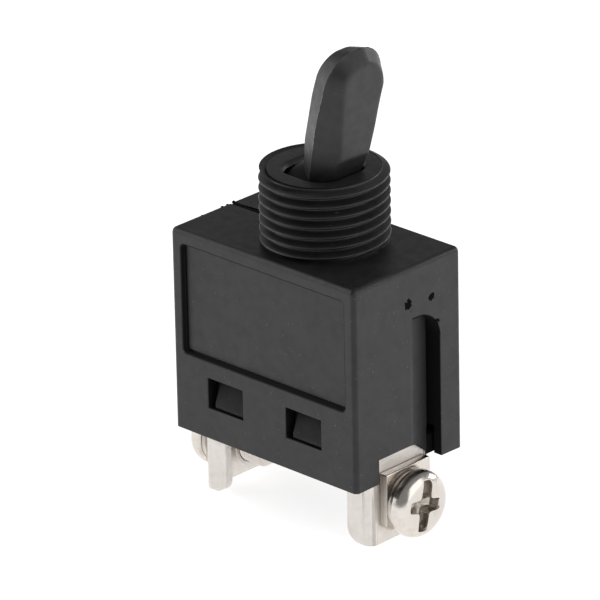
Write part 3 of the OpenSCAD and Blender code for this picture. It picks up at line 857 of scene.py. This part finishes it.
def lever_ball(pivot):
    """The upper part of the ball round the pivot, flat on two sides."""
    ball = bmesh.new()
    bmesh.ops.create_uvsphere(ball, u_segments=96, v_segments=64, radius=BALL_RADIUS * MM)
    foot = Vector((0, 0, BALL_CUT * MM))
    side = Vector((0, BALL_HALF * MM, 0))
    for place, outward in ((foot, (0, 0, -1)), (side, (0, 1, 0)), (-side, (0, -1, 0))):
        cut_off(ball, place, outward)
    # Painted shade towards the ball's flat sides
    add_shade_and_dirt(ball, ball_painted_shade)
    ball.transform(pivot)
    return ball


def join(bm, other):
    """Adds another bmesh with its sharp edges."""
    mesh = mesh_of(other, "joined", LEVER_SHARP)
    bm.from_mesh(mesh)
    bpy.data.meshes.remove(mesh)


def make_lever(materials):
    """The paddle, its root and the ball round its pivot in one piece."""
    skin = lever_skin()
    raise_mould_line(skin)
    pivot = lever_place(LEVER_TILT)
    bm = bmesh.new()
    bm.verts.layers.float.new(SHADE_AND_DIRT)
    made = add_tube(bm, placed(pivot, skin), closed_ends=False)
    bm.faces.new(list(reversed(made[0])))
    tip = bm.verts.new(pivot @ (lever_point(LEVER_HEART, Vector((0, 0, 1))) * MM))
    for i in range(LEVER_COLUMNS):
        bm.faces.new((made[-1][i], made[-1][(i + 1) % LEVER_COLUMNS], tip))
    for column in MOULD_COLUMNS:
        for low, high in zip(made, made[1:]):
            bm.edges.get((low[column], high[column])).smooth = False
    join(bm, lever_root(pivot))
    join(bm, lever_ball(pivot))
    mesh = mesh_of(bm, "lever_paddle")
    new_piece("lever_paddle", mesh, materials["lever_plastic"], "lever", "lever_plastic", "lever")


# Spring: wound wire with a closed turn at each end, in the lever's bore

# Tilt of the bore at rest in degrees, the spring's ends along it, and the spring's turns and wire
NODE_TILT = 14
SPRING_FOOT = -4.79
SPRING_HEAD = 0.59
SPRING_RADIUS = 1.0
SPRING_TURNS = 7
SPRING_STEPS = 48
SPRING_SHARP = 60
WIRE_RADIUS = 0.15
WIRE_SIDES = 12
CLOSED_PITCH = 0.31


def make_spring(materials):
    """Coil in the lever's bore, laid at the bore's tilt at rest and fixed there."""
    pivot = lever_place(NODE_TILT)
    open_turns = SPRING_TURNS - 2
    length = SPRING_HEAD - SPRING_FOOT - 2 * WIRE_RADIUS
    open_pitch = (length - 2 * CLOSED_PITCH) / open_turns
    rings = []
    for i in range(SPRING_TURNS * SPRING_STEPS + 1):
        turn = i / SPRING_STEPS
        opened = held(turn - 1, 0, open_turns)
        height = SPRING_FOOT + WIRE_RADIUS + open_pitch * opened + CLOSED_PITCH * (turn - opened)
        ring = []
        for around in angles(WIRE_SIDES):
            radius = SPRING_RADIUS + WIRE_RADIUS * math.cos(around)
            ring.append(polar(radius, 2 * math.pi * turn, height + WIRE_RADIUS * math.sin(around)))
        rings.append(ring)
    bm = bmesh.new()
    add_tube(bm, placed(pivot, rings))
    mesh = mesh_of(bm, "plunger_coil", SPRING_SHARP)
    piece = new_piece(
        "plunger_coil", mesh, materials["spring_steel"], None, "spring_steel", "plunger_spring")
    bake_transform(piece)


# Screws: turned in mesh code, with a cross in the head and a helical thread on the shank

SCREW_STEPS = 192
SCREW_SHARP = 38
HEAD_RADIUS = 3.25
HEAD_HEIGHT = 1.7
HEAD_ROUND = 1.15
HEAD_STEPS = 14
# The recess stays this far inside the head's rim
HEAD_RIM = 0.3
SHANK_LENGTH = 6.6
SHANK_ROOT = 1.45
SHANK_CREST = 1.75
SHANK_PITCH = 0.6
# Thread of the shank: its start, turns, reach along the axis, fades at both ends and steps in a turn
SHANK_START = 0.35 - SHANK_LENGTH
SHANK_TURNS = (SHANK_LENGTH - 0.5) / SHANK_PITCH
SHANK_REACH = (0.05 - SHANK_LENGTH, -0.02)
SHANK_FADE = (0.6, 0.3)
SHANK_STEPS = 60
# Outline from the tip of the shank to the rim of the head: radii and heights
SCREW_OUTLINE = (
    (0.9, -SHANK_LENGTH), (1.2, 0.02 - SHANK_LENGTH), (SHANK_ROOT, 0.3 - SHANK_LENGTH),
    (SHANK_ROOT, 0.0), (3.0, 0.0), (HEAD_RADIUS, 0.2),
)
RECESS_TURN = math.radians(-11)
RECESS_CENTRE = (-0.2, 0.15)
# The cross's two bars, half their sizes both ways, and the powers that round their ends and inner corners
RECESS_ARMS = ((2.0, 0.6), (0.62, 2.6))
END_POWER = 6
CORNER_POWER = 3.5
# Keeps the middle of the cross from a division by zero
RECESS_SPECK = 1e-6
RECESS_DEPTH = 1.2
RECESS_FLOOR = HEAD_HEIGHT - RECESS_DEPTH
# Recess from its edge down: shares of the edge's radius and heights
RECESS_RINGS = (
    (0.965, HEAD_HEIGHT - 0.08), (0.94, HEAD_HEIGHT - 0.22), (0.84, RECESS_FLOOR + 0.12),
    (0.74, RECESS_FLOOR), (0.25, RECESS_FLOOR - 0.12),
)
RECESS_DIRT = 0.45


def in_recess(across, up):
    """Whether a place on the head lies in its cross: two bars with round ends and eased inner corners."""
    across -= RECESS_CENTRE[0]
    up -= RECESS_CENTRE[1]
    along = abs(across * math.cos(RECESS_TURN) + up * math.sin(RECESS_TURN)) + RECESS_SPECK
    beside = abs(up * math.cos(RECESS_TURN) - across * math.sin(RECESS_TURN))
    bars = [
        ((along / half) ** END_POWER + (beside / other_half) ** END_POWER) ** (-1 / END_POWER)
        for half, other_half in RECESS_ARMS
    ]
    return sum(bar ** CORNER_POWER for bar in bars) > 1


def recess_edge(angle):
    """Radius of the recess in this direction from the middle of the head."""
    def inside(radius):
        return in_recess(radius * math.cos(angle), radius * math.sin(angle))

    return farthest(inside, HEAD_RADIUS - HEAD_RIM)


def head_point(inward):
    """Radius and height on the head, this far in from its rim along the surface."""
    flat = HEAD_RADIUS - HEAD_ROUND
    bend = min(inward / HEAD_ROUND, math.pi / 2)
    radius = flat + HEAD_ROUND * math.cos(bend) - max(inward - HEAD_ROUND * math.pi / 2, 0)
    return radius, HEAD_HEIGHT - HEAD_ROUND * (1 - math.sin(bend))


def head_rings():
    """Rings from the rim of the head to the edge of its recess."""
    rings = [[] for _ in range(HEAD_STEPS + 1)]
    flat = HEAD_RADIUS - HEAD_ROUND
    for angle in angles(SCREW_STEPS):
        edge = recess_edge(angle)
        bend = math.acos(max(edge - flat, 0) / HEAD_ROUND)
        span = HEAD_ROUND * bend + max(flat - edge, 0)
        for i, ring in enumerate(rings):
            radius, height = head_point(span * i / HEAD_STEPS)
            ring.append(polar(radius, angle, height))
    return rings


def round_ring(radius, height):
    """Ring of a turned surface."""
    return [polar(radius, angle, height) for angle in angles(SCREW_STEPS)]


def recess_ring(edge_ring, share, height):
    """Ring of the recess: its edge, drawn in and let down to a height."""
    return [Vector((point.x * share, point.y * share, min(point.z, height))) for point in edge_ring]


def make_screw(node, side, materials):
    """Pan-head screw along X with its head outwards; side is 1 at the load end and -1 at the line end."""
    low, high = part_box(node)
    outer = high.x if side > 0 else low.x
    middle = (low + high) / 2
    seat = Vector((outer - side * HEAD_HEIGHT * MM, middle.y, middle.z))
    turn = Matrix(((0, 0, side), (side, 0, 0), (0, 1, 0))).to_4x4()
    place = Matrix.Translation(seat) @ turn
    rings = [round_ring(radius, height) for radius, height in SCREW_OUTLINE]
    rings += head_rings()
    edge_ring = rings[-1]
    rings += [recess_ring(edge_ring, share, height) for share, height in RECESS_RINGS]
    bm = bmesh.new()
    mark = bm.verts.layers.float.new(SHADE_AND_DIRT)
    made = add_tube(bm, placed(place, rings))
    for ring in made[1 - len(RECESS_RINGS):]:
        for vert in ring:
            vert[mark] = RECESS_DIRT
    add_thread(
        bm, place, SHANK_ROOT, SHANK_CREST, SHANK_PITCH, SHANK_START, SHANK_TURNS,
        SHANK_REACH, SHANK_FADE, SHANK_STEPS,
    )
    name = node + "_turned"
    mesh = mesh_of(bm, name, SCREW_SHARP)
    new_piece(name, mesh, materials["plated_steel"], "case", "plated_steel", node)


# Base, terminals, clamp plates and lock washers: their solids with broken edges, painted shade and darkening

# Edges above this angle, in degrees, are broken by these widths
BREAK_ANGLE = 35
BASE_BREAK = 0.1
TERMINAL_BREAK = 0.1
CLAMP_BREAK = 0.12
WASHER_BREAK = 0.1
# Base: how far out its toes and hooks start, and the heights and painted shade of the hooks
TOE_START = 9.7
HOOK_START = 5.9
HOOK_FOOT = -17.0
HOOK_TOP = -14.4
HOOK_SHADE = 0.35
SCREW_HEIGHT = -23.25
# Clamp plates: how far out their sides start, their top and its edge, and how far out painted shade lies on
# top
CLAMP_SIDE = 2.9
CLAMP_TOP = -19.8
CLAMP_EDGE = 0.15
CLAMP_BACK = 10.62
# The line end's clamp plate is shifted by this along Y
LINE_SHIFT = -0.5
# Darkening on the clamps' sides and on the washers: how far below the screw it starts, and its rise
CLAMP_DROP = 3
CLAMP_RUN = 5
WASHER_DROP = 1
WASHER_RUN = 3
WASHER_DARKEST = 0.8


def base_painted_shade(point):
    """Painted shade on the toes at both ends, and painted shade that thickens up the face of the snap hooks.
    """
    x, y, z = point / MM
    # Painted shade on the toes at the ends
    if abs(x - CASE_MIDDLE) > TOE_START:
        return 1.0
    if abs(y) < HOOK_START:
        return 0.0
    # Painted shade that thickens up the hooks
    return HOOK_SHADE * held((z - HOOK_FOOT) / (HOOK_TOP - HOOK_FOOT))


def clamp_darkening(point):
    """Painted shade along the top of a clamp plate, and darkening on its sides that fades downwards."""
    x, y, z = point / MM
    # Painted shade line along the plate's top
    if z > CLAMP_TOP - CLAMP_EDGE and abs(x - CASE_MIDDLE) < CLAMP_BACK:
        return 1.0
    middle = LINE_SHIFT if x < CASE_MIDDLE else 0.0
    # Sides: darker and browner towards the top
    if abs(y - middle) > CLAMP_SIDE:
        return held((z - SCREW_HEIGHT + CLAMP_DROP) / CLAMP_RUN)
    return 0.0


def washer_darkening(point):
    """Darkening that thickens up a lock washer."""
    return held((point.z / MM - SCREW_HEIGHT + WASHER_DROP) / WASHER_RUN, high=WASHER_DARKEST)


def make_stamped(node, name, slot, width, materials, shade_and_dirt=None):
    """Copy of a node with its sharp edges broken by a small width in millimetres."""
    bm = node_bmesh(node)
    round_edges(bm, width, BREAK_ANGLE, is_long)
    if shade_and_dirt:
        add_shade_and_dirt(bm, shade_and_dirt)
    piece = new_piece(name, mesh_of(bm, name, SHARP_ANGLE), materials[slot], "case", slot, node)
    even_normals(piece)


# Stage

# Floor: half its side in metres, its paint and what it gives off by itself
FLOOR_HALF = 3.0
FLOOR_PAINT = (0.75, 0.75, 0.75, 1)
FLOOR_GLOW = 0.75
SKY_STRENGTH = 0.25
# Soft boxes: name, place and size in metres, and power in watts
LAMPS = (
    ("left_box", (-0.9, -0.45, 0.4), (1.1, 1.1), 5.5),
    ("right_box", (0.95, 0.2, 0.5), (1.1, 1.1), 5.0),
    ("back_box", (0.25, 0.95, 0.25), (0.6, 0.3), 2.0),
)


def make_floor():
    """Pale floor under the terminals. It glows for the camera and in the metal, with the shadow kept."""
    low = cad_box[0].z
    corners = [(x * FLOOR_HALF, y * FLOOR_HALF, low) for x, y in ((-1, -1), (1, -1), (1, 1), (-1, 1))]
    mesh = bpy.data.meshes.new("floor")
    mesh.from_pydata(corners, [], [(0, 1, 2, 3)])
    floor = bpy.data.objects.new("floor", mesh)
    bpy.context.scene.collection.objects.link(floor)
    g = Graph("floor")
    rays = g.add("ShaderNodeLightPath").outputs
    seen = rays["Is Camera Ray"]
    for kind in ("Is Glossy Ray", "Is Transmission Ray"):
        seen = g.add("ShaderNodeMath", {0: seen, 1: rays[kind]}, operation="MAXIMUM").outputs[0]
    lift = g.add("ShaderNodeMath", {0: seen, 1: FLOOR_GLOW}, operation="MULTIPLY").outputs[0]
    paint = g.add("ShaderNodeBsdfDiffuse", {"Color": FLOOR_PAINT}).outputs[0]
    glow = g.add("ShaderNodeEmission", {"Color": WHITE, "Strength": lift}).outputs[0]
    mesh.materials.append(g.finish(g.add("ShaderNodeAddShader", {0: paint, 1: glow})))


def make_lamp(name, place, size, power):
    """Soft box that faces the middle of the object."""
    data = bpy.data.lights.new(name, "AREA")
    data.shape = "RECTANGLE"
    data.size, data.size_y = size
    data.energy = power
    lamp = bpy.data.objects.new(name, data)
    lamp.location = Vector(place)
    lamp.rotation_euler = (VIEW_TARGET - lamp.location).to_track_quat("-Z", "Y").to_euler()
    bpy.context.scene.collection.objects.link(lamp)


def make_light():
    """White surroundings and the soft boxes."""
    world = bpy.data.worlds.new("studio")
    bpy.context.scene.world = world
    world.use_nodes = True
    sky = world.node_tree.nodes["Background"]
    sky.inputs["Color"].default_value = WHITE
    sky.inputs["Strength"].default_value = SKY_STRENGTH
    for lamp in LAMPS:
        make_lamp(*lamp)
    bpy.context.scene.view_settings.view_transform = "Standard"


def dress_nodes(materials):
    """Gives each carried node the finish that the record names for it."""
    for node in nodes.values():
        slot = node.data.materials[0].name
        node.data.materials[0] = materials[slot]


make_camera()
materials = make_materials()
make_floor()
make_light()
dress_nodes(materials)
make_housing(materials)
make_pits(materials)
make_lever(materials)
make_spring(materials)
for end, side in (("line", -1), ("load", 1)):
    make_screw(end + "_screw", side, materials)
    make_stamped(end + "_terminal", end + "_ear", "plated_brass", TERMINAL_BREAK, materials)
    make_stamped(end + "_clamp_plate", end + "_clamp", "plated_steel", CLAMP_BREAK, materials, clamp_darkening)
    make_stamped(
        end + "_lock_washer", end + "_spring_washer", "plated_steel", WASHER_BREAK, materials, washer_darkening)
make_stamped("base", "base_block", "base_plastic", BASE_BREAK, materials, base_painted_shade)
